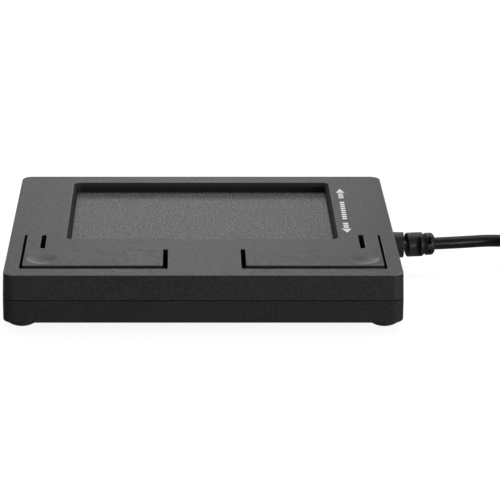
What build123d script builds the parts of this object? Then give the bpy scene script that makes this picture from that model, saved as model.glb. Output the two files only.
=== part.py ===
from build123d import *
import math
import os

# Wired USB touchpad, flat rectangular housing, two L-shaped keys along the
# front edge, recessed touch surface, moulded strain relief and USB lead on
# the right side. Millimetres. Origin: centre of the housing, at the height of
# the feet's flats. +X right, +Y back, +Z up.

# ------------------------------------------------------------ housing
W = 86.0                 # width, X
D = 75.4                 # depth, Y
FOOT_H = 1.65            # how far the feet stand out of the bottom
BODY_H = 10.85            # housing height without feet
Z0 = FOOT_H              # underside of the bottom cover
ZT = FOOT_H + BODY_H     # top plane
SEAM = Z0 + 5.09          # parting line
RC = 2.5                 # plan corner radius
DRAFT = 0.18             # the top cover is this much smaller all round at its top
WALL = 1.8
FLOOR = 1.5
TOP_T = 2.2
ZU = ZT - TOP_T          # underside of the top plate
ZF = Z0 + FLOOR          # top of the bottom cover's floor

# ------------------------------------------------------------ window
WIN_W, WIN_D = 60.7, 44.8
WIN_Y = 10.1
WIN_BEVEL = 0.8          # 45 degree bevel round the window

# ------------------------------------------------------------ keys
KX_OUT, KX_LEG = 38.95, 35.75
KX_END = {-1: 8.68, 1: 9.25}          # inner end of the left and right key
KY_FRONT, KY_PAD, KY_LEG = -32.05, -20.2, -9.6
OX_OUT, OX_LEG = 39.6, 34.75
OX_END = {-1: 7.65, 1: 8.32}
OY_FRONT, OY_PAD, OY_LEG = -33.15, -19.5, -9.15
K_CORNER = 0.9           # radius inside the key's L
K_RISE = 0.45
K_T = 1.6
ZK = ZT + K_RISE
DIMPLE_X, DIMPLE_Y = 34.8, -27.8
DIMPLE_R, DIMPLE_DEPTH = 3.4, 0.5
PIVOT_Y, PIVOT_Z, PIVOT_R = -7.0, 9.0, 0.8
POST_GAP = 0.08          # air between the key's post and the plunger

# ------------------------------------------------------------ boards
SB_W, SB_D, SB_T = 65.0, 49.0, 1.6
Z_FILM = ZU - 0.05       # top of the touch film
FILM_T, ADH_T = 0.2, 0.1
Z_SB = Z_FILM - FILM_T - ADH_T       # top of the sensor board
Z_SBL = Z_SB - SB_T                  # underside of the sensor board
MB_X, MB_Y0, MB_Y1, MB_T = 38.6, -34.2, -12.5, 1.2
Z_MB = ZF + 1.15 + MB_T              # top of the main board
Z_MBL = Z_MB - MB_T

# ------------------------------------------------------------ screws, feet
CASE_SCREWS = [(-37.0, 27.0), (37.0, 27.0), (0.0, -28.5)]
BOARD_SCREWS = [(-30.0, -15.5), (30.0, -15.5)]
FEET = [(sx * 39.0, sy * 33.5) for sx in (-1, 1) for sy in (-1, 1)]
FOOT_R, FOOT_FLAT, FOOT_POCKET = 3.5, 1.2, 0.5
PADS = [(sx * 29.0, y) for sx in (-1, 1) for y in (-9.0, 29.5)]

# ------------------------------------------------------------ lead
CORD_D = 2.8
BOOT_Y = 1.6
BOOT_A = 8.0             # degrees the boot bends back after its first flange
COIL_C = (96.3, -7.2)
COIL_RI, COIL_RO, COIL_H = 10.6, 22.3, 11.4

os.makedirs("parts", exist_ok=True)


def bx(x0, x1, y0, y1, z0, z1):
    return Pos((x0 + x1) / 2, (y0 + y1) / 2, (z0 + z1) / 2) * Box(
        abs(x1 - x0), abs(y1 - y0), abs(z1 - z0)
    )


def cyl(x, y, z0, z1, r):
    return Pos(x, y, (z0 + z1) / 2) * Cylinder(r, z1 - z0)


def cylx(x0, x1, y, z, r):
    return Pos((x0 + x1) / 2, y, z) * Rot(0, 90, 0) * Cylinder(r, x1 - x0)


def rbox(w, d, z0, z1, r, x=0.0, y=0.0):
    return extrude(Pos(x, y, z0) * RectangleRounded(w, d, r), z1 - z0)


def frustum(w0, d0, r0, z0, w1, d1, r1, z1, y=0.0):
    return loft(
        [Pos(0, y, z0) * RectangleRounded(w0, d0, r0), Pos(0, y, z1) * RectangleRounded(w1, d1, r1)]
    )


def edges_at(part, z, tol=1e-3):
    out = []
    for e in part.edges():
        b = e.bounding_box()
        if abs(b.min.Z - z) < tol and abs(b.max.Z - z) < tol:
            out.append(e)
    return out


def l_face(s, xo, xl, xe, yf, yp, yl, z):
    pts = [(xo, yf), (xo, yl), (xl, yl), (xl, yp), (xe, yp), (xe, yf)]
    pts = [(s * x, y) for x, y in pts]
    return Pos(0, 0, z) * make_face(Polyline(*pts, close=True))


def l_prism(s, xo, xl, xe, yf, yp, yl, z0, z1, r, r_in=None):
    solid = extrude(l_face(s, xo, xl, xe, yf, yp, yl, z0), z1 - z0, dir=(0, 0, 1))
    vert = [e for e in solid.edges() if abs(e.bounding_box().max.Z - e.bounding_box().min.Z) > 0.5]
    inner = [e for e in vert if abs(e.center().X - s * xl) < 0.01 and abs(e.center().Y - yp) < 0.01]
    outer = [e for e in vert if e not in inner]
    solid = fillet(outer, r)
    vert = [e for e in solid.edges() if abs(e.center().X - s * xl) < 0.01 and abs(e.center().Y - yp) < 0.01]
    return fillet(vert, r_in or r)


def save(node, *solids):
    shape = solids[0] if len(solids) == 1 else Compound(children=list(solids))
    if len(solids) == 1 and len(shape.solids()) == 1:
        shape = shape.solids()[0]
    shape.label = node
    export_step(shape, f"parts/{node}.step")


# ============================================================ bottom cover
bottom = rbox(W, D, Z0, SEAM, RC)
bottom = fillet(edges_at(bottom, Z0), 0.4)
bottom = chamfer(edges_at(bottom, SEAM), 0.14)
bottom -= rbox(W - 2 * WALL, D - 2 * WALL, ZF, SEAM + 1, RC - WALL + 0.4)
lip = rbox(W - 2 * WALL - 0.2, D - 2 * WALL - 0.2, SEAM - 1.6, SEAM + 1.0, 1.0) - rbox(
    W - 2 * WALL - 1.8, D - 2 * WALL - 1.8, SEAM - 2, SEAM + 2, 0.8
)
lip_foot = rbox(W - 2 * WALL + 0.4, D - 2 * WALL + 0.4, SEAM - 1.6, SEAM - 0.5, 1.0) - rbox(
    W - 2 * WALL - 1.8, D - 2 * WALL - 1.8, SEAM - 2, SEAM + 2, 0.8
)
bottom += lip + lip_foot
for x, y in CASE_SCREWS:
    bottom += cyl(x, y, ZF - 0.2, Z_MBL, 3.0)
for x, y in BOARD_SCREWS:
    bottom += cyl(x, y, ZF - 0.2, Z_MBL, 2.3)
for x, y in PADS:
    bottom += cyl(x, y, ZF - 0.2, Z_SBL - 1.1, 2.0)
for x in (-33.0, 33.0):
    bottom += bx(x - 1.2, x + 1.2, -33.2, -30.8, ZF - 0.2, Z_MBL)
for s in (-1, 1):
    for xa, xb in ((39.15, 40.05), (34.75, 35.75)):
        bottom += bx(s * xa, s * xb, PIVOT_Y - 0.75, PIVOT_Y + 0.75, ZF - 0.2, PIVOT_Z - PIVOT_R - 0.06)
for x, y in CASE_SCREWS:
    bottom -= cyl(x, y, Z0 - 1, Z0 + 1.4, 2.1)
    bottom -= cyl(x, y, Z0, Z_MBL + 1, 1.1)
for x, y in BOARD_SCREWS:
    bottom -= cyl(x, y, ZF - 0.75, Z_MBL + 1, 0.975)
for x, y in FEET:
    bottom -= cyl(x, y, Z0 - 1, Z0 + FOOT_POCKET, FOOT_R + 0.05)
bottom -= rbox(34.2, 16.2, Z0 - 1, Z0 + 0.15, 1.05)
# the boot's seat: neck through the wall, flange slot behind it
bottom -= cylx(38.0, W / 2 + 1, BOOT_Y, SEAM, 2.35)
bottom -= cylx(38.2, W / 2 - WALL, BOOT_Y, SEAM, 3.35)
save("bottom_cover", bottom)

# ============================================================ top cover
SEAM_C = 0.14            # bevel either side of the parting line
top = frustum(W, D, RC + 0.1, SEAM + SEAM_C, W - 2 * DRAFT, D - 2 * DRAFT, RC - 0.1, ZT)
top = fillet(edges_at(top, ZT), 0.2)
top += frustum(W - 2 * SEAM_C, D - 2 * SEAM_C, RC - 0.04, SEAM, W, D, RC + 0.1, SEAM + SEAM_C)
zs = ZT - WIN_BEVEL
bevel = 2 * WIN_BEVEL
win_up = frustum(WIN_W - bevel, WIN_D - bevel, 0.9, zs, WIN_W, WIN_D, 1.7, ZT, WIN_Y)
win_lo = frustum(WIN_W - bevel - 0.16, WIN_D - bevel - 0.16, 0.82, ZU - 0.4, WIN_W - bevel, WIN_D - bevel, 0.9, zs, WIN_Y)
top -= win_up
top -= win_lo
top -= rbox(W - 2 * WALL, D - 2 * WALL, SEAM - 1, ZU, RC - WALL + 0.4)
for s in (-1, 1):
    top -= l_prism(s, OX_OUT, OX_LEG, OX_END[s], OY_FRONT, OY_PAD, OY_LEG, ZU - 1, ZT + 1, 0.35)
for x, y in CASE_SCREWS:
    zb = Z_MB + 0.05 if x == 0 else Z_MBL + 0.05
    top += cyl(x, y, zb, ZU + 0.3, 2.5)
    top -= cyl(x, y, zb - 1, 9.7, 1.02)
# ribs that locate the touch module from both sides and behind
for s in (-1, 1):
    top += bx(s * 32.65, s * 33.55, -2.0, 20.0, Z_SBL - 0.2, ZU + 0.3)
top += bx(-20, 20, WIN_Y + SB_D / 2 + 0.1, D / 2 - WALL + 0.3, Z_SBL - 0.2, ZU + 0.3)
# hinge ears, open below
for s in (-1, 1):
    for xa, xb in ((39.1, 40.1), (34.7, 35.8)):
        ear = bx(s * xa, s * xb, OY_LEG + 0.1, PIVOT_Y + 1.6, 7.4, ZU + 0.3)
        ear -= cylx(min(s * xa, s * xb) - 1, max(s * xa, s * xb) + 1, PIVOT_Y, PIVOT_Z, PIVOT_R + 0.05)
        ear -= bx(s * xa - 1, s * xb + 1, PIVOT_Y - PIVOT_R - 0.05, PIVOT_Y + PIVOT_R + 0.05, 6, PIVOT_Z) if s > 0 else bx(
            s * xb - 1, s * xa + 1, PIVOT_Y - PIVOT_R - 0.05, PIVOT_Y + PIVOT_R + 0.05, 6, PIVOT_Z
        )
        top += ear
top -= cylx(38.0, W / 2 + 1, BOOT_Y, SEAM, 2.35)
top -= cylx(38.2, W / 2 - WALL, BOOT_Y, SEAM, 3.35)
rim = [
    e
    for e in edges_at(top, ZT)
    if abs(e.bounding_box().min.X) < 41.5 and abs(e.bounding_box().max.X) < 41.5 and abs(e.bounding_box().min.Y) < 36 and abs(e.bounding_box().max.Y) < 36
]
try:
    top_f = fillet(rim, 0.16)
    if top_f.is_valid:
        top = top_f
    print("rim fillet ok", top_f.is_valid)
except Exception as err:
    print("rim fillet left out", err)
save("top_cover", top)

# ============================================================ keys
for s, side in ((-1, "left"), (1, "right")):
    key = l_prism(s, KX_OUT, KX_LEG, KX_END[s], KY_FRONT, KY_PAD, KY_LEG, ZK - K_T, ZK, 0.3, K_CORNER)
    key = fillet(edges_at(key, ZK), 0.22)
    rs = (DIMPLE_R**2 + DIMPLE_DEPTH**2) / (2 * DIMPLE_DEPTH)
    key -= Pos(s * DIMPLE_X, DIMPLE_Y, ZK - DIMPLE_DEPTH + rs) * Sphere(rs)
    # actuator post over the switch
    key += cyl(s * DIMPLE_X, DIMPLE_Y, Z_MB + 4.3 + POST_GAP, ZK - K_T + 0.3, 1.7)
    # stiffening ribs
    key += bx(s * 10.5, s * 33.0, -30.6, -29.8, ZK - K_T - 0.5, ZK - K_T + 0.2)
    key += bx(s * 10.5, s * 33.0, -21.6, -20.8, ZK - K_T - 0.5, ZK - K_T + 0.2)
    # stop tab under the cover's front bar
    key += bx(s * 12.0, s * 16.0, -34.2, -31.2, ZU - 0.9, ZU - 0.12)
    key += bx(s * 12.0, s * 16.0, -32.0, -31.2, ZU - 0.9, ZK - K_T + 0.2)
    # arm and trunnion under the cover
    key += bx(s * 36.2, s * 38.85, -12.6, KY_LEG, 8.2, ZK - K_T + 0.2)
    key += bx(s * 36.2, s * 38.85, -10.2, PIVOT_Y + 0.9, 8.2, 9.75)
    key += cylx(min(s * 34.75, s * 40.05), max(s * 34.75, s * 40.05), PIVOT_Y, PIVOT_Z, PIVOT_R)
    save(f"{side}_button", key)

# ============================================================ touch module
save("touch_film", rbox(SB_W - 0.4, SB_D - 0.4, Z_FILM - FILM_T, Z_FILM, 0.8, 0, WIN_Y))
save("film_adhesive", rbox(SB_W - 0.8, SB_D - 0.8, Z_SB, Z_SB + ADH_T, 0.6, 0, WIN_Y))
save("sensor_board", rbox(SB_W, SB_D, Z_SBL, Z_SB, 0.8, 0, WIN_Y))
save("touch_chip", bx(-11, -5, 9, 15, Z_SBL - 0.9, Z_SBL))
comps = []
for i, (x, y, rot) in enumerate(
    [(-14.5, 9.5, 0), (-14.5, 12, 0), (-14.5, 14.5, 0), (-1.5, 9.5, 0), (-1.5, 12, 0), (-1.5, 14.5, 0), (-10, 5.5, 1), (-7.5, 5.5, 1), (-10, 18.5, 1), (-6, 18.5, 1), (2.0, -1.0, 0), (18.0, -1.0, 0)]
):
    a, b = (0.8, 0.4) if not rot else (0.4, 0.8)
    comps.append(bx(x - a, x + a, y - b, y + b, Z_SBL - 0.75, Z_SBL))
save("sensor_components", *comps)
sc = bx(5.5, 14.5, -11.25, -6.75, Z_SBL - 1.5, Z_SBL)
save("sensor_connector", sc)
bc = bx(5.5, 14.5, -18.2, -13.75, Z_MB, Z_MB + 1.2)
save("board_connector", bc)
# flat flexible cable: out of the sensor's connector, round, into the board's
za, zb = Z_SBL - 0.85, Z_MB + 0.55
rr = (za - zb) / 2
yb = -3.2
t = 0.2
sk_line = (
    Line((-6.75, za + t / 2), (yb, za + t / 2))
    + ThreePointArc((yb, za + t / 2), (yb + rr + t / 2, (za + zb) / 2), (yb, zb - t / 2))
    + Line((yb, zb - t / 2), (-13.75, zb - t / 2))
    + Line((-13.75, zb - t / 2), (-13.75, zb + t / 2))
    + Line((-13.75, zb + t / 2), (yb, zb + t / 2))
    + ThreePointArc((yb, zb + t / 2), (yb + rr - t / 2, (za + zb) / 2), (yb, za - t / 2))
    + Line((yb, za - t / 2), (-6.75, za - t / 2))
    + Line((-6.75, za - t / 2), (-6.75, za + t / 2))
)
ffc = extrude(Plane.YZ.offset(6.75) * make_face(sk_line), 6.5)
save("flat_flex_cable", ffc)
save("foam_pads", *[cyl(x, y, Z_SBL - 1.1, Z_SBL, 2.0) for x, y in PADS])

# ============================================================ main board
mb = rbox(2 * MB_X, MB_Y1 - MB_Y0, Z_MBL, Z_MB, 0.8, 0, (MB_Y0 + MB_Y1) / 2)
for x, y in CASE_SCREWS:
    mb -= cyl(x, y, Z_MBL - 1, Z_MB + 1, 1.2)
for x, y in BOARD_SCREWS:
    mb -= cyl(x, y, Z_MBL - 1, Z_MB + 1, 1.1)
save("main_board", mb)
save("usb_controller_chip", bx(-17.6, -10.4, -24.6, -19.4, Z_MB + 0.1, Z_MB + 1.8))
leads = []
for i in range(10):
    x = -14 + (i - 4.5) * 0.65
    for ya, yc in ((-25.5, -24.6), (-19.4, -18.5)):
        leads.append(bx(x - 0.12, x + 0.12, ya, yc, Z_MB, Z_MB + 0.25))
save("usb_chip_leads", *leads)
save("crystal", rbox(10.4, 4.4, Z_MB, Z_MB + 3.4, 2.15, 10, -23))
comps = []
for x, y, rot in [(-21.0, -20.5, 1), (-21.0, -23.5, 1), (-7.0, -20.0, 1), (-7.0, -23.0, 1), (2.0, -20.0, 0), (2.0, -23.0, 0), (19.0, -22.0, 1), (21.5, -22.0, 1), (24.0, -22.0, 1), (-25.0, -22.0, 1), (-14.0, -16.0, 0), (-10.5, -16.0, 0)]:
    a, b = (1.0, 0.6) if not rot else (0.6, 1.0)
    comps.append(bx(x - a, x + a, y - b, y + b, Z_MB, Z_MB + 0.7))
save("board_components", *comps)

# cable header, pins, socket
hd = bx(17.0, 25.0, -19.0, -14.8, Z_MB, Z_MB + 3.0) - bx(17.6, 24.4, -17.8, -14.0, Z_MB + 0.5, Z_MB + 2.5)
save("cable_header", hd)
WX = [18.9, 20.3, 21.7, 23.1]
save("header_pins", *[bx(x - 0.2, x + 0.2, -17.8, -15.9, Z_MB + 1.3, Z_MB + 1.7) for x in WX])
zs0, zs1 = Z_MB + 0.55, Z_MB + 2.45
sk = bx(17.7, 24.3, -15.85, -11.4, zs0, zs1)
save("cable_socket", sk)
zw = Z_MB + 1.25
for i, (x, name) in enumerate(zip(WX, ("wire_black", "wire_green", "wire_white", "wire_red"))):
    yw = BOOT_Y + 1.35 - 0.9 * i
    path = FilletPolyline((x, -11.4, zw), (x, yw, zw), (38.4, yw, zw), radius=2.2)
    w = sweep(Plane(origin=(x, -11.4, zw), z_dir=(0, 1, 0)) * Circle(0.38), path=path)
    save(name, w)

# ============================================================ tact switches
bases, plates, domes, legs = [], [], [], []
for s, side in ((-1, "left"), (1, "right")):
    x, y = s * DIMPLE_X, DIMPLE_Y
    b = bx(x - 3, x + 3, y - 3, y + 3, Z_MB, Z_MB + 3.2)
    b -= cyl(x, y, Z_MB + 0.9, Z_MB + 4, 2.2)
    bases.append(b)
    p = bx(x - 3, x + 3, y - 3, y + 3, Z_MB + 3.2, Z_MB + 3.5) - cyl(x, y, Z_MB, Z_MB + 5, 1.8)
    plates.append(p)
    rd = (2.0**2 + 0.5**2) / (2 * 0.5)
    cap = Pos(x, y, Z_MB + 0.95 + 0.5 - rd) * (Sphere(rd) - Sphere(rd - 0.1))
    cap &= cyl(x, y, Z_MB + 0.95, Z_MB + 2, 2.1)
    domes.append(cap)
    for sx in (-1, 1):
        for sy in (-1, 1):
            legs.append(bx(x + sx * 2.25 - 0.35, x + sx * 2.25 + 0.35, y + sy * 3.0, y + sy * 4.3, Z_MB, Z_MB + 0.2))
    pl = cyl(x, y, Z_MB + 1.85, Z_MB + 4.3, 1.65) + cyl(x, y, Z_MB + 2.65, Z_MB + 3.1, 2.0)
    save(f"{side}_switch_plunger", pl)
save("switch_bases", *bases)
save("switch_plates", *plates)
save("switch_domes", *domes)
save("switch_terminals", *legs)

# ============================================================ screws, feet, label
scr = []
for x, y in CASE_SCREWS:
    s_ = cyl(x, y, Z0 + 0.1, Z0 + 1.4, 1.9) + cyl(x, y, Z0 + 1.4, 9.25, 1.0)
    s_ -= bx(x - 1.2, x + 1.2, y - 0.22, y + 0.22, Z0 - 1, Z0 + 0.75) + bx(x - 0.22, x + 0.22, y - 1.2, y + 1.2, Z0 - 1, Z0 + 0.75)
    scr.append(s_)
save("case_screws", *scr)
scr = []
for x, y in BOARD_SCREWS:
    s_ = cyl(x, y, Z_MB, Z_MB + 1.2, 1.8) + cyl(x, y, 2.9, Z_MB, 0.95)
    s_ -= bx(x - 1.1, x + 1.1, y - 0.2, y + 0.2, Z_MB + 0.6, Z_MB + 3) + bx(x - 0.2, x + 0.2, y - 1.1, y + 1.1, Z_MB + 0.6, Z_MB + 3)
    scr.append(s_)
save("board_screws", *scr)
feet = []
for x, y in FEET:
    prof = (
        Line((0, 0), (FOOT_FLAT, 0))
        + ThreePointArc((FOOT_FLAT, 0), (2.5, 0.46), (FOOT_R, 1.15))
        + Line((FOOT_R, 1.15), (FOOT_R, Z0 + FOOT_POCKET))
        + Line((FOOT_R, Z0 + FOOT_POCKET), (0, Z0 + FOOT_POCKET))
        + Line((0, Z0 + FOOT_POCKET), (0, 0))
    )
    f = revolve(Plane.XZ * make_face(prof), Axis.Z)
    feet.append(Pos(x, y, 0) * f)
save("rubber_feet", *feet)
save("rating_label", rbox(34.0, 16.0, Z0, Z0 + 0.14, 1.0))

# ============================================================ scroll marks
marks = []
Z_P = ZT + 0.03


def mark_x(y):
    return 32.46 + 0.0075 * (y + 7.5)


def tick(y, w, h):
    x = mark_x(y)
    return bx(x - w / 2, x + w / 2, y - h / 2, y + h / 2, ZT, Z_P)


for i in range(9):
    marks.append(tick(3.15 + i * 1.596, 1.04, 0.96))
for i in range(3):
    marks.append(tick(-0.55 - i * 1.42, 1.2, 0.92))
    marks.append(tick(19.75 + i * 1.42, 1.16, 0.92))
for ya, yb_, hw in ((-4.62, -7.5, 1.06), (23.75, 26.9, 1.0)):
    x = mark_x(ya)
    tri = make_face(Polyline((x - hw, ya), (x + hw, ya), (x, yb_), close=True))
    marks.append(extrude(Pos(0, 0, ZT) * tri, 0.03, dir=(0, 0, 1)))
save("scroll_marks", *marks)

# ============================================================ strain relief
bw = W / 2
boot = cylx(39.6, bw - WALL - 0.05, BOOT_Y, SEAM, 3.2)
boot += cylx(39.6, bw + 0.3, BOOT_Y, SEAM, 2.3)
flange = cylx(bw + 0.05, bw + 2.9, BOOT_Y, SEAM, 2.92)
flange = fillet(flange.edges(), 0.25)
boot += flange
piv = bw + 3.3
BOOT_END = 6.57          # from the bend to the boot's end
rest = cylx(bw + 3.5, bw + 7.6, BOOT_Y, SEAM, 2.76)
rest = fillet([e for e in rest.edges() if e.center().X < bw + 4], 0.4)
rest = chamfer([e for e in rest.edges() if e.center().X > bw + 7], 0.5)
endc = cylx(bw + 7.72, piv + BOOT_END, BOOT_Y, SEAM, 2.54)
endc = fillet([e for e in endc.edges() if e.center().X > bw + 9], 0.75)
endc = fillet([e for e in endc.edges() if e.center().X < bw + 8], 0.45)
rest += endc
rest += cylx(bw + 7.0, bw + 8.6, BOOT_Y, SEAM, 2.2)
# the middle slot is open in front and behind, and leaves an upright web
for sy in (-1, 1):
    rest -= bx(bw + 5.25, bw + 6.5, BOOT_Y + sy * 1.25, BOOT_Y + sy * 5, SEAM - 2.3, SEAM + 2.3)
    # the end slot is split by a level rib
    for sz in (-1, 1):
        rest -= bx(bw + 8.02, bw + 8.85, BOOT_Y + sy * 1.2, BOOT_Y + sy * 5, SEAM + sz * 0.6, SEAM + sz * 2.15)
rest = Pos(piv, BOOT_Y, 0) * Rot(0, 0, BOOT_A) * Pos(-piv, -BOOT_Y, 0) * rest
neck = bx(bw + 2.5, bw + 4.2, BOOT_Y - 1.75, BOOT_Y + 1.75, SEAM - 0.85, SEAM + 0.85)
neck = fillet([e for e in neck.edges() if e.bounding_box().max.X - e.bounding_box().min.X > 1], 0.5)
boot = boot + rest + neck
save("strain_relief", boot)
ca, sa = math.cos(math.radians(BOOT_A)), math.sin(math.radians(BOOT_A))
EXIT = (piv + BOOT_END * ca, BOOT_Y + BOOT_END * sa, SEAM)
print("exit", [round(v, 3) for v in EXIT])


# ============================================================ lead
def route_radii(pts):
    out = []
    v = [Vector(*b) - Vector(*a) for a, b in zip(pts, pts[1:])]
    for a, b in zip(v, v[1:]):
        turn = a.get_angle(b)
        r = 0.45 * min(a.length, b.length) / math.tan(math.radians(turn / 2))
        out.append(r)
    print("runs", [round(q.length, 1) for q in v], "radii", [round(r, 1) for r in out])
    return out


def tube(pts, d):
    path = FilletPolyline(*pts, radius=route_radii(pts))
    line = Vector(*pts[1]) - Vector(*pts[0])
    s_ = sweep(Plane(origin=pts[0], z_dir=line.normalized()) * Circle(d / 2), path=path)
    print("tube length", round(path.length, 2), "volume ratio", round(s_.volume / (math.pi * d * d / 4 * path.length), 4))
    return s_


cx, cy = COIL_C
LEAD = [
    EXIT,
    (EXIT[0] + 6.0 * ca, EXIT[1] + 6.0 * sa, SEAM),
    (66.6, 5.5, 6.6),
    (74.5, 8.1, 5.3),
    (82.9, 11.0, 2.6),
    (91.244, 13.079, 1.42),
]
lead = tube(LEAD, CORD_D)
save("cable_lead", lead)
coil = extrude(Pos(cx, cy, 0) * (Circle(COIL_RO) - Circle(COIL_RI)), COIL_H)
coil = fillet(coil.edges(), 1.3)
TIE_A = -50.0
tie_out = Box(13.0, 4.0, COIL_H)
rm = (COIL_RI + COIL_RO) / 2
notch = Box(COIL_RO - COIL_RI + 2, 4.4, COIL_H + 2) - extrude(
    Rot(90, 0, 0) * RectangleRounded(COIL_RO - COIL_RI - 0.7, COIL_H - 0.7, 1.3), 3.0, both=True
)


def at_tie(s_):
    return Pos(cx, cy, 0) * Rot(0, 0, TIE_A) * Pos(rm, 0, COIL_H / 2) * s_


coil -= at_tie(notch)
save("cable_coil", coil)
tie = extrude(Rot(90, 0, 0) * RectangleRounded(COIL_RO - COIL_RI - 0.04, COIL_H - 0.04, 1.2), 2.0, both=True) - extrude(
    Rot(90, 0, 0) * RectangleRounded(COIL_RO - COIL_RI - 0.62, COIL_H - 0.62, 1.1), 3.0, both=True
)
save("coil_tie", at_tie(tie))
TAIL = [
    (cx - 8.8, cy + 18.95, 9.95),
    (cx + 0.2, cy + 22.7, 9.4),
    (cx + 10.0, cy + 24.3, 7.6),
    (cx + 19.3, cy + 22.6, 5.4),
    (cx + 26.2, cy + 17.4, 4.0),
    (cx + 29.9, cy + 9.6, 4.0),
]
tail = tube(TAIL, CORD_D)
save("cable_tail", tail)

# ============================================================ plug
px, py, pz = TAIL[-1]
dx, dy = TAIL[-1][0] - TAIL[-2][0], TAIL[-1][1] - TAIL[-2][1]
PA = math.degrees(math.atan2(dy, dx))


def at_plug(s_):
    return Pos(px, py, pz) * Rot(0, 0, PA) * s_


OM_L, OM_W, OM_T = 19.0, 15.6, 7.8
sleeve = loft([Plane.YZ * Circle(2.0), Plane.YZ.offset(6.0) * Circle(2.9)])
body = Pos(5.5 + OM_L / 2, 0, 0) * Box(OM_L, OM_W, OM_T)
body = fillet([e for e in body.edges() if abs(e.bounding_box().max.X - e.bounding_box().min.X) > 5], 1.6)
body = fillet([e for e in body.edges() if e.bounding_box().max.X - e.bounding_box().min.X < 1e-3], 0.6)
for i in range(3):
    for sy in (-1, 1):
        body -= Pos(10.0 + 2.4 * i, sy * OM_W / 2, 0) * Box(1.1, 0.7, 5.2)
xs = 5.5 + OM_L
body += sleeve
body -= Pos(xs - 3, 0, 0) * Box(6.02, 12.0, 4.5)
save("plug_body", at_plug(body))
shell = Pos(xs - 6.0 + 9.0, 0, 0) * Box(18.0, 12.0, 4.5)
shell = fillet([e for e in shell.edges() if e.bounding_box().max.X - e.bounding_box().min.X > 5], 0.35)
shell -= Pos(xs + 3.5, 0, 0) * Box(18.1, 11.4, 3.9)
for sy in (-1, 1):
    shell -= Pos(xs + 6.2, sy * 2.9, 0) * Box(2.2, 2.4, 8)
save("plug_shell", at_plug(shell))
ins = Pos(xs - 5.2 + 8.3, 0, 0.95) * Box(16.6, 11.3, 1.9) + Pos(xs - 5.4 + 2.0, 0, 0) * Box(3.6, 11.3, 3.8)
save("plug_insulator", at_plug(ins))
cons = []
for yc, ln in ((-3.5, 8.6), (-1.0, 7.6), (1.0, 7.6), (3.5, 8.6)):
    cons.append(at_plug(Pos(xs + 1.6 + ln / 2, yc, -0.06) * Box(ln, 1.0, 0.12)))
save("plug_contacts", *cons)
print("coil", cx, cy, "plug at", [round(v, 2) for v in (px, py, pz)], "angle", round(PA, 2))
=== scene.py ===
import math
import random

import bpy
import bmesh
from mathutils import Matrix, Vector


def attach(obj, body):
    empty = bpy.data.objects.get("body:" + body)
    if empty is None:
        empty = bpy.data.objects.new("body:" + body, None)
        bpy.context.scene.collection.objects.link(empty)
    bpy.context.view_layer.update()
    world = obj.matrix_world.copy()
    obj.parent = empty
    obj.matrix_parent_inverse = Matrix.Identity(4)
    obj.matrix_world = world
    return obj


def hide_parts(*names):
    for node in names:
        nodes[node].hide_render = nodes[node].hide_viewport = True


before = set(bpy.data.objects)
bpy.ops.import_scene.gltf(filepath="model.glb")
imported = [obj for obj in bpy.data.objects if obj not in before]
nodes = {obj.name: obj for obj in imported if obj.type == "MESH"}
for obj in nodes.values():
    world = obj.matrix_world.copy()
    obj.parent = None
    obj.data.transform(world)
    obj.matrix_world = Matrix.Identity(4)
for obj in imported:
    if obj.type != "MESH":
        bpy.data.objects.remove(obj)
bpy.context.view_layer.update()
MM = 0.001
rnd = random.Random(7)
scene = bpy.context.scene


# ------------------------------------------------------------------ camera
PITCH = 17.86
cam_data = bpy.data.cameras.new("camera")
cam = bpy.data.objects.new("camera", cam_data)
scene.collection.objects.link(cam)
cam.location = (-4.32 * MM, -557.96 * MM, 185.78 * MM)
cam.rotation_euler = (math.radians(90.0 - PITCH), 0.0, 0.0)
cam_data.sensor_width = 36.0
cam_data.lens = 2575.9 / 500.0 * 36.0
cam_data.shift_x = (250.0 - 183.08) / 500.0
cam_data.clip_start = 0.01
cam_data.clip_end = 20.0
scene.camera = cam


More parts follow.
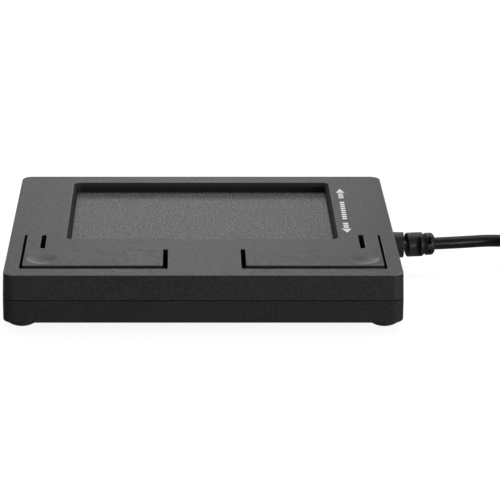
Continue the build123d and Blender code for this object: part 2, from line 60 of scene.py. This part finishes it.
# ------------------------------------------------------------------ node helpers
class Mat:
    """A small builder for one procedural material."""

    def __init__(self, name):
        self.m = bpy.data.materials.new(name)
        self.m.use_nodes = True
        self.t = self.m.node_tree
        self.bsdf = next(n for n in self.t.nodes if n.type == "BSDF_PRINCIPLED")
        self.coord = self.t.nodes.new("ShaderNodeTexCoord")

    def n(self, kind, **props):
        node = self.t.nodes.new(kind)
        for k, v in props.items():
            setattr(node, k, v)
        return node

    def link(self, a, b):
        self.t.links.new(a, b)

    def set(self, **values):
        for k, v in values.items():
            self.bsdf.inputs[k.replace("_", " ")].default_value = v
        return self

    def noise(self, scale, detail=2.0, rough=0.5, stretch=None):
        node = self.n("ShaderNodeTexNoise")
        node.inputs["Scale"].default_value = scale
        node.inputs["Detail"].default_value = detail
        node.inputs["Roughness"].default_value = rough
        src = self.coord.outputs["Object"]
        if stretch:
            mp = self.n("ShaderNodeMapping")
            mp.inputs["Scale"].default_value = stretch
            self.link(src, mp.inputs["Vector"])
            src = mp.outputs["Vector"]
        self.link(src, node.inputs["Vector"])
        return node.outputs["Fac"]

    def voronoi(self, scale, feature="F1", out="Distance", stretch=None):
        node = self.n("ShaderNodeTexVoronoi", feature=feature)
        node.inputs["Scale"].default_value = scale
        src = self.coord.outputs["Object"]
        if stretch:
            mp = self.n("ShaderNodeMapping")
            mp.inputs["Scale"].default_value = stretch
            self.link(src, mp.inputs["Vector"])
            src = mp.outputs["Vector"]
        self.link(src, node.inputs["Vector"])
        return node.outputs[out]

    def ramp(self, fac, stops):
        node = self.n("ShaderNodeValToRGB")
        els = node.color_ramp.elements
        while len(els) < len(stops):
            els.new(0.5)
        for e, (p, c) in zip(els, stops):
            e.position = p
            e.color = (*c, 1.0) if len(c) == 3 else c
        self.link(fac, node.inputs["Fac"])
        return node.outputs["Color"]

    def remap(self, fac, a, b, c, d):
        node = self.n("ShaderNodeMapRange")
        for i, v in zip(("From Min", "From Max", "To Min", "To Max"), (a, b, c, d)):
            node.inputs[i].default_value = v
        self.link(fac, node.inputs["Value"])
        return node.outputs["Result"]

    def math(self, op, a, b):
        node = self.n("ShaderNodeMath", operation=op)
        for i, v in enumerate((a, b)):
            if isinstance(v, (int, float)):
                node.inputs[i].default_value = v
            else:
                self.link(v, node.inputs[i])
        return node.outputs["Value"]

    def mix(self, fac, a, b):
        node = self.n("ShaderNodeMix", data_type="RGBA")
        self.link(fac, node.inputs["Factor"]) if not isinstance(fac, float) else setattr(node.inputs["Factor"], "default_value", fac)
        for i, v in ((6, a), (7, b)):
            if isinstance(v, tuple):
                node.inputs[i].default_value = (*v, 1.0)
            else:
                self.link(v, node.inputs[i])
        return node.outputs[2]

    def bump(self, height, strength, distance, below=None):
        node = self.n("ShaderNodeBump")
        node.inputs["Strength"].default_value = strength
        node.inputs["Distance"].default_value = distance
        self.link(height, node.inputs["Height"])
        if below is not None:
            self.link(below, node.inputs["Normal"])
        return node.outputs["Normal"]

    def normal(self, out):
        self.link(out, self.bsdf.inputs["Normal"])
        return self

    def color(self, out):
        self.link(out, self.bsdf.inputs["Base Color"])
        return self

    def rough(self, out):
        self.link(out, self.bsdf.inputs["Roughness"])
        return self


def band(m, value, a, b, soft):
    """1 where value lies between a and b, fading over soft at either end."""
    lo = m.remap(value, a - soft, a, 0.0, 1.0)
    hi = m.remap(value, b, b + soft, 1.0, 0.0)
    return m.math("MULTIPLY", lo, hi)


def edge_mask(m):
    """White on the small rounded edges, whose normals are neither level nor upright."""
    geo = m.n("ShaderNodeNewGeometry")
    sep = m.n("ShaderNodeSeparateXYZ")
    m.link(geo.outputs["Normal"], sep.inputs["Vector"])
    return band(m, sep.outputs["Z"], 0.30, 0.93, 0.08)


def place(m):
    sep = m.n("ShaderNodeSeparateXYZ")
    m.link(m.coord.outputs["Object"], sep.inputs["Vector"])
    return sep.outputs["X"], sep.outputs["Y"], sep.outputs["Z"]


def textured_plastic(name, dark, light, grain=5200.0, strength=0.32, rough=0.52, specular=0.22, painted_highlight_tone=0.20, cover=False, dish=False):
    """Spark-eroded black plastic: fine pits, faint mottling, small edges a little polished and given a painted
    highlight in a lighter colour.
    """
    m = Mat(name)
    m.set(Specular_IOR_Level=specular)
    blotch = m.noise(95.0, 3.0, 0.6)
    fine = m.noise(grain * 0.3, 2.0, 0.6)
    col = m.ramp(blotch, [(0.3, dark), (0.72, light)])
    speck = m.ramp(fine, [(0.35, tuple(c * 0.70 for c in dark)), (0.68, tuple(c * 1.35 for c in light))])
    edge_polish_and_painted_highlight = edge_mask(m)
    x, y, z = place(m)
    body = m.mix(0.5, col, speck)
    if cover:
        # the window's bevel and walls are smooth; their darker colour is painted shade, and the painted edge highlight
        # is kept off them
        recess_painted_shade = m.math("MULTIPLY", band(m, x, -0.0303, 0.0303, 0.0001), band(m, y, -0.0122, 0.0324, 0.0001))
        low = m.remap(z, 0.01238, 0.01246, 1.0, 0.0)
        recess_painted_shade = m.math("MULTIPLY", recess_painted_shade, low)
        body = m.mix(recess_painted_shade, body, (0.012, 0.012, 0.0125))
        edge_polish_and_painted_highlight = m.math("MULTIPLY", edge_polish_and_painted_highlight, m.math("SUBTRACT", 1.0, recess_painted_shade))
    if dish:
        # the finger dishes get painted light by slope: a painted highlight (lighter colour) on the front slope,
        # painted shade (darker colour) on the back one
        geo = m.n("ShaderNodeNewGeometry")
        sep = m.n("ShaderNodeSeparateXYZ")
        m.link(geo.outputs["Normal"], sep.inputs["Vector"])
        up = m.remap(sep.outputs["Z"], 0.94, 0.95, 0.0, 1.0)
        bowl = m.remap(sep.outputs["Z"], 0.9996, 0.9990, 0.0, 1.0)
        up = m.math("MULTIPLY", up, bowl)
        dish_front_painted_highlight = m.math("MULTIPLY", up, m.remap(sep.outputs["Y"], -0.02, 0.13, 0.0, 0.9))
        dish_back_painted_shade = m.math("MULTIPLY", up, m.remap(sep.outputs["Y"], -0.04, -0.16, 0.0, 0.9))
        body = m.mix(dish_front_painted_highlight, body, (0.105, 0.105, 0.110))
        body = m.mix(dish_back_painted_shade, body, (0.004, 0.004, 0.0043))
    # the parting line gets a painted shade: a darker colour in a thin band
    parting_line_painted_shade = band(m, z, 0.00668, 0.00680, 0.00005)
    # the small edges above the parting line get a painted highlight: their colour is lightened
    body = m.mix(m.math("MULTIPLY", edge_polish_and_painted_highlight, m.remap(z, 0.0070, 0.0072, 0.0, 1.0)), body, (painted_highlight_tone, painted_highlight_tone, painted_highlight_tone * 1.03))
    m.color(m.mix(parting_line_painted_shade, body, (0.009, 0.009, 0.0095)))
    r0 = m.remap(m.noise(grain * 0.2, 2.0), 0.3, 0.7, rough - 0.05, rough + 0.05)
    m.rough(m.math("SUBTRACT", r0, m.math("MULTIPLY", edge_polish_and_painted_highlight, 0.12)))
    pits = m.math("ADD", m.math("MULTIPLY", m.voronoi(grain), 0.6), m.noise(grain * 0.6, 3.0, 0.65))
    m.normal(m.bump(pits, strength, 0.00006))
    return m.m


def simple(name, color, rough, metallic=0.0, specular=0.5, grain=2500.0, strength=0.1, vary=0.12, coat=0.0):
    m = Mat(name)
    m.set(Specular_IOR_Level=specular, Metallic=metallic)
    if coat:
        m.set(Coat_Weight=coat, Coat_Roughness=0.15)
    a = tuple(c * (1.0 - vary) for c in color)
    b = tuple(min(1.0, c * (1.0 + vary)) for c in color)
    m.color(m.ramp(m.noise(grain * 0.12, 3.0), [(0.3, a), (0.7, b)]))
    m.rough(m.remap(m.noise(grain * 0.25, 2.0), 0.3, 0.7, max(0.03, rough - 0.06), rough + 0.06))
    m.normal(m.bump(m.noise(grain, 3.0, 0.6), strength, 0.00005))
    return m.m


# ------------------------------------------------------------------ materials
housing = textured_plastic("housing_textured", (0.0262, 0.0262, 0.028), (0.0342, 0.0342, 0.0366), cover=True)
# the bottom cover is the housing plastic, a little rougher, with a darker colour as painted shade for the lower shell
base_painted_shade_mat = textured_plastic("base_textured_painted_shade", (0.021, 0.021, 0.0222), (0.027, 0.027, 0.0285), rough=0.58, specular=0.22)
keys_mat = textured_plastic("keys_textured", (0.0235, 0.0235, 0.0252), (0.031, 0.031, 0.0332), dish=True)


def touch_material():
    m = Mat("touch_grained")
    m.set(Specular_IOR_Level=0.28)
    grain = m.noise(2450.0, 3.0, 0.75)
    cell = m.voronoi(2300.0)
    col = m.ramp(grain, [(0.38, (0.006, 0.006, 0.0063)), (0.50, (0.053, 0.053, 0.056)), (0.63, (0.32, 0.32, 0.332))])
    m.color(col)
    m.rough(m.remap(grain, 0.3, 0.7, 0.46, 0.60))
    h = m.math("ADD", m.math("MULTIPLY", cell, 0.8), m.noise(3400.0, 3.0, 0.7))
    m.normal(m.bump(h, 0.5, 0.00007))
    return m.m


touch = touch_material()
pvc = simple("pvc_black", (0.012, 0.012, 0.0125), 0.3, specular=0.25, grain=1800.0, strength=0.12, vary=0.2)
boot_mat = simple("boot_black", (0.018, 0.018, 0.019), 0.4, specular=0.35, grain=2600.0, strength=0.25, vary=0.2)
rubber = simple("rubber_black", (0.014, 0.014, 0.0145), 0.72, specular=0.35, grain=3200.0, strength=0.3, vary=0.25)
print_white = simple("print_white", (0.96, 0.96, 0.96), 0.45, grain=5000.0, strength=0.15, vary=0.05)
steel = simple("steel", (0.56, 0.55, 0.53), 0.28, metallic=1.0, grain=2600.0, strength=0.08)
nickel = simple("nickel", (0.66, 0.65, 0.62), 0.2, metallic=1.0, grain=1500.0, strength=0.05)
gold = simple("gold", (0.83, 0.62, 0.24), 0.22, metallic=1.0, grain=1500.0, strength=0.05)
tin = simple("tin", (0.7, 0.7, 0.71), 0.25, metallic=1.0, grain=2600.0, strength=0.1)
chip = simple("chip_epoxy", (0.017, 0.017, 0.018), 0.62, grain=5200.0, strength=0.25)
nylon = simple("nylon", (0.78, 0.75, 0.66), 0.45, grain=1800.0, strength=0.08, vary=0.05)
tan = simple("ceramic_tan", (0.42, 0.33, 0.22), 0.4, grain=2500.0, strength=0.1)
foam = simple("foam", (0.09, 0.09, 0.095), 0.9, specular=0.2, grain=2600.0, strength=0.9, vary=0.3)
glue = simple("adhesive", (0.62, 0.62, 0.56), 0.5, grain=900.0, strength=0.1)
ribbon = simple("ribbon_white", (0.8, 0.8, 0.79), 0.3, grain=900.0, strength=0.05, vary=0.03)
label = simple("label_silver", (0.47, 0.47, 0.48), 0.34, specular=0.5, grain=700.0, strength=0.06, vary=0.06)
black_plastic = simple("black_plastic", (0.014, 0.014, 0.015), 0.45, grain=2200.0, strength=0.12)


def board_material():
    m = Mat("board_green")
    m.set(Specular_IOR_Level=0.5, Coat_Weight=0.4, Coat_Roughness=0.12)
    br = m.n("ShaderNodeTexBrick")
    br.inputs["Scale"].default_value = 420.0
    br.inputs["Color1"].default_value = (0.010, 0.105, 0.035, 1)
    br.inputs["Color2"].default_value = (0.012, 0.125, 0.042, 1)
    br.inputs["Mortar"].default_value = (0.020, 0.17, 0.060, 1)
    br.inputs["Mortar Size"].default_value = 0.06
    m.link(m.coord.outputs["Object"], br.inputs["Vector"])
    m.color(br.outputs["Color"])
    m.rough(m.remap(m.noise(1200.0), 0.3, 0.7, 0.28, 0.4))
    m.normal(m.bump(br.outputs["Fac"], 0.3, 0.00004))
    return m.m


board = board_material()
wires = {
    "wire_black": simple("wire_black_pvc", (0.013, 0.013, 0.013), 0.35, grain=1600.0),
    "wire_green": simple("wire_green_pvc", (0.03, 0.26, 0.06), 0.35, grain=1600.0),
    "wire_white": simple("wire_white_pvc", (0.75, 0.75, 0.74), 0.35, grain=1600.0, vary=0.04),
    "wire_red": simple("wire_red_pvc", (0.45, 0.02, 0.02), 0.35, grain=1600.0),
}
look = {
    "top_cover": housing, "bottom_cover": base_painted_shade_mat, "left_button": keys_mat, "right_button": keys_mat,
    "touch_film": touch, "film_adhesive": glue, "sensor_board": board, "touch_chip": chip,
    "sensor_components": tan, "sensor_connector": nylon, "board_connector": nylon,
    "flat_flex_cable": ribbon, "foam_pads": foam, "main_board": board, "usb_controller_chip": chip,
    "usb_chip_leads": tin, "crystal": steel, "board_components": tan, "cable_header": nylon,
    "header_pins": tin, "cable_socket": nylon, "switch_bases": black_plastic, "switch_plates": steel,
    "switch_domes": steel, "switch_terminals": tin, "left_switch_plunger": black_plastic,
    "right_switch_plunger": black_plastic, "case_screws": steel, "board_screws": steel,
    "rubber_feet": rubber, "rating_label": label, "scroll_marks": print_white,
    "strain_relief": boot_mat, "plug_body": boot_mat, "plug_shell": nickel,
    "plug_insulator": black_plastic, "plug_contacts": gold, **wires,
}
for name, mat in look.items():
    o = nodes[name]
    if o.data.materials:
        for i in range(len(o.data.materials)):
            o.data.materials[i] = mat
    else:
        o.data.materials.append(mat)


# ------------------------------------------------------------------ the lead
EXIT = (52.806, 2.514, 6.74)
LEAD = [
    EXIT,
    (58.748, 3.349, 6.74),
    (66.6, 5.5, 6.6),
    (74.5, 8.1, 5.3),
    (82.9, 11.0, 2.6),
]
COIL_C = Vector((96.3, -7.2, 0.0))
CORD_R = 1.4
TIE_ANGLE = -50.0


def coil_points():
    """The put-away turns: four layers, wound in and out, clockwise from above."""
    n_side = 16
    a0, a1 = 104.0, 114.9
    total = 12 * 360.0 + (a0 - a1 + 360.0)
    ramp = 0.3 * 360.0
    layer = (total - 3 * ramp) / 4
    r_in, r_out, z0, dz = 12.05, 20.9, 1.42, 2.86
    steps = int(round(total / (360.0 / n_side)))
    out = []
    for i in range(steps + 1):
        t = total * i / steps
        k, u = divmod(t, layer + ramp)
        k = int(k)
        if k > 3:
            k, u = 3, layer
        inward = k % 2 == 0
        f = min(u / layer, 1.0)
        r = r_out + (r_in - r_out) * f if inward else r_in + (r_out - r_in) * f
        w = max(0.0, (u - layer) / ramp)
        w = w * w * (3 - 2 * w)
        z = z0 + dz * (k + w)
        a = math.radians(a0 - t)
        off = (math.degrees(a) - TIE_ANGLE + 180.0) % 360.0 - 180.0
        z += 0.30 * math.exp(-((off / 16.0) ** 2))
        rc = r / (0.25 * (3.0 + math.cos(2 * math.pi / n_side)))
        if i in (0, steps):
            rc = r
        out.append((COIL_C.x + rc * math.cos(a), COIL_C.y + rc * math.sin(a), z))
    return out


cx, cy = COIL_C.x, COIL_C.y
TAIL = [
    (cx + 0.2, cy + 22.7, 9.4),
    (cx + 10.0, cy + 24.3, 7.6),
    (cx + 19.3, cy + 22.6, 5.4),
    (cx + 26.2, cy + 17.4, 4.0),
    (cx + 29.9, cy + 9.6, 4.0),
]
pts = LEAD + coil_points() + TAIL
curve = bpy.data.curves.new("usb_lead", "CURVE")
curve.dimensions = "3D"
curve.resolution_u = 6
curve.bevel_depth = CORD_R * MM
curve.bevel_resolution = 6
curve.use_fill_caps = True
sp = curve.splines.new("NURBS")
sp.points.add(len(pts) - 1)
for p, q in zip(sp.points, pts):
    p.co = (q[0] * MM, q[1] * MM, q[2] * MM, 1.0)
sp.order_u = 3
sp.use_endpoint_u = True
cord = bpy.data.objects.new("usb_lead", curve)
scene.collection.objects.link(cord)
curve.materials.append(pvc)
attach(cord, "base")
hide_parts("cable_lead", "cable_coil", "cable_tail")


# ------------------------------------------------------------------ the tie
def make_tie():
    """A flat strap round the bundle, its end lapped over itself on the outside."""
    bm = bmesh.new()
    r0, r1, z0, z1 = 10.58, 22.38, 0.03, 11.82
    cr = 1.5
    path = []
    corners = [(r1 - cr, z1 - cr, 0), (r0 + cr, z1 - cr, 90), (r0 + cr, z0 + cr, 180), (r1 - cr, z0 + cr, 270)]
    for x, z, a in corners:
        for i in range(7):
            t = math.radians(a + 15 * i)
            path.append((x + cr * math.cos(t), z + cr * math.sin(t), math.cos(t), math.sin(t)))
    path.append(path[0])
    th, hw = 0.28, 2.0
    rings = []
    for x, z, nx, nz in path:
        ring = []
        for dy, dn in ((-hw, 0.0), (hw, 0.0), (hw, th), (-hw, th)):
            ring.append(bm.verts.new(Vector((x + nx * (dn - th), dy, z + nz * (dn - th)))))
        rings.append(ring)
    for a, b in zip(rings, rings[1:]):
        for i in range(4):
            bm.faces.new((a[i], a[(i + 1) % 4], b[(i + 1) % 4], b[i]))
    bmesh.ops.remove_doubles(bm, verts=bm.verts, dist=1e-5)
    # the lapped end
    segs = [3.2 + i * 0.75 for i in range(9)]
    rows = []
    for z in segs:
        row = []
        for dy, dn in ((-hw + 0.1, 0.02), (hw - 0.1, 0.02), (hw - 0.1, 0.02 + th), (-hw + 0.1, 0.02 + th)):
            row.append(bm.verts.new(Vector((r1 + dn, dy, z))))
        rows.append(row)
    for a, b in zip(rows, rows[1:]):
        for i in range(4):
            bm.faces.new((a[i], a[(i + 1) % 4], b[(i + 1) % 4], b[i]))
    bm.faces.new(rows[0][::-1])
    bm.faces.new(rows[-1])
    bmesh.ops.recalc_face_normals(bm, faces=bm.faces)
    m = Matrix.Translation(COIL_C * MM) @ Matrix.Rotation(math.radians(TIE_ANGLE), 4, "Z") @ Matrix.Scale(MM, 4)
    bmesh.ops.transform(bm, matrix=m, verts=bm.verts)
    me = bpy.data.meshes.new("lead_tie")
    bm.to_mesh(me)
    bm.free()
    o = bpy.data.objects.new("lead_tie", me)
    scene.collection.objects.link(o)
    b = o.modifiers.new("soft edges", "BEVEL")
    b.width = 0.00008
    b.segments = 2
    b.limit_method = "ANGLE"
    for p in me.polygons:
        p.use_smooth = True
    me.materials.append(rubber)
    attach(o, "base")
    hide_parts("coil_tie")
    return o


tie = make_tie()

# ------------------------------------------------------------------ floor, light
bm = bmesh.new()
bmesh.ops.create_grid(bm, x_segments=8, y_segments=8, size=3.0)
me = bpy.data.meshes.new("floor")
bm.to_mesh(me)
bm.free()
floor = bpy.data.objects.new("floor", me)
scene.collection.objects.link(floor)
fm = Mat("floor_white")
fm.set(Roughness=0.9, Specular_IOR_Level=0.05, Emission_Strength=0.9)
fm.bsdf.inputs["Base Color"].default_value = (0.25, 0.25, 0.25, 1.0)
fm.bsdf.inputs["Emission Color"].default_value = (1.0, 1.0, 1.0, 1.0)
me.materials.append(fm.m)
floor.location.z = -0.00003
floor.visible_diffuse = False
floor.visible_glossy = False

world = bpy.data.worlds.new("studio")
scene.world = world
world.use_nodes = True
bg = next(n for n in world.node_tree.nodes if n.type == "BACKGROUND")
bg.inputs["Color"].default_value = (1.0, 1.0, 1.0, 1.0)
bg.inputs["Strength"].default_value = 0.22


def area(name, loc, target, size, size_y, power):
    d = bpy.data.lights.new(name, "AREA")
    d.shape = "RECTANGLE"
    d.size, d.size_y = size, size_y
    d.energy = power
    o = bpy.data.objects.new(name, d)
    scene.collection.objects.link(o)
    o.location = loc
    o.rotation_mode = "QUATERNION"
    o.rotation_quaternion = (Vector(target) - Vector(loc)).to_track_quat("-Z", "Y")
    return o


area("overhead", (0.05, 0.5, 1.0), (0, 0, 0), 1.6, 1.0, 7.0)
area("back", (0.0, 1.45, 0.56), (0, 0, 0.0), 0.3, 0.3, 1.9)
area("front", (1.0, -1.0, 0.16), (0, 0, 0.0), 1.0, 0.5, 11.5)
scene.view_settings.view_transform = "Standard"
scene.view_settings.look = "None"
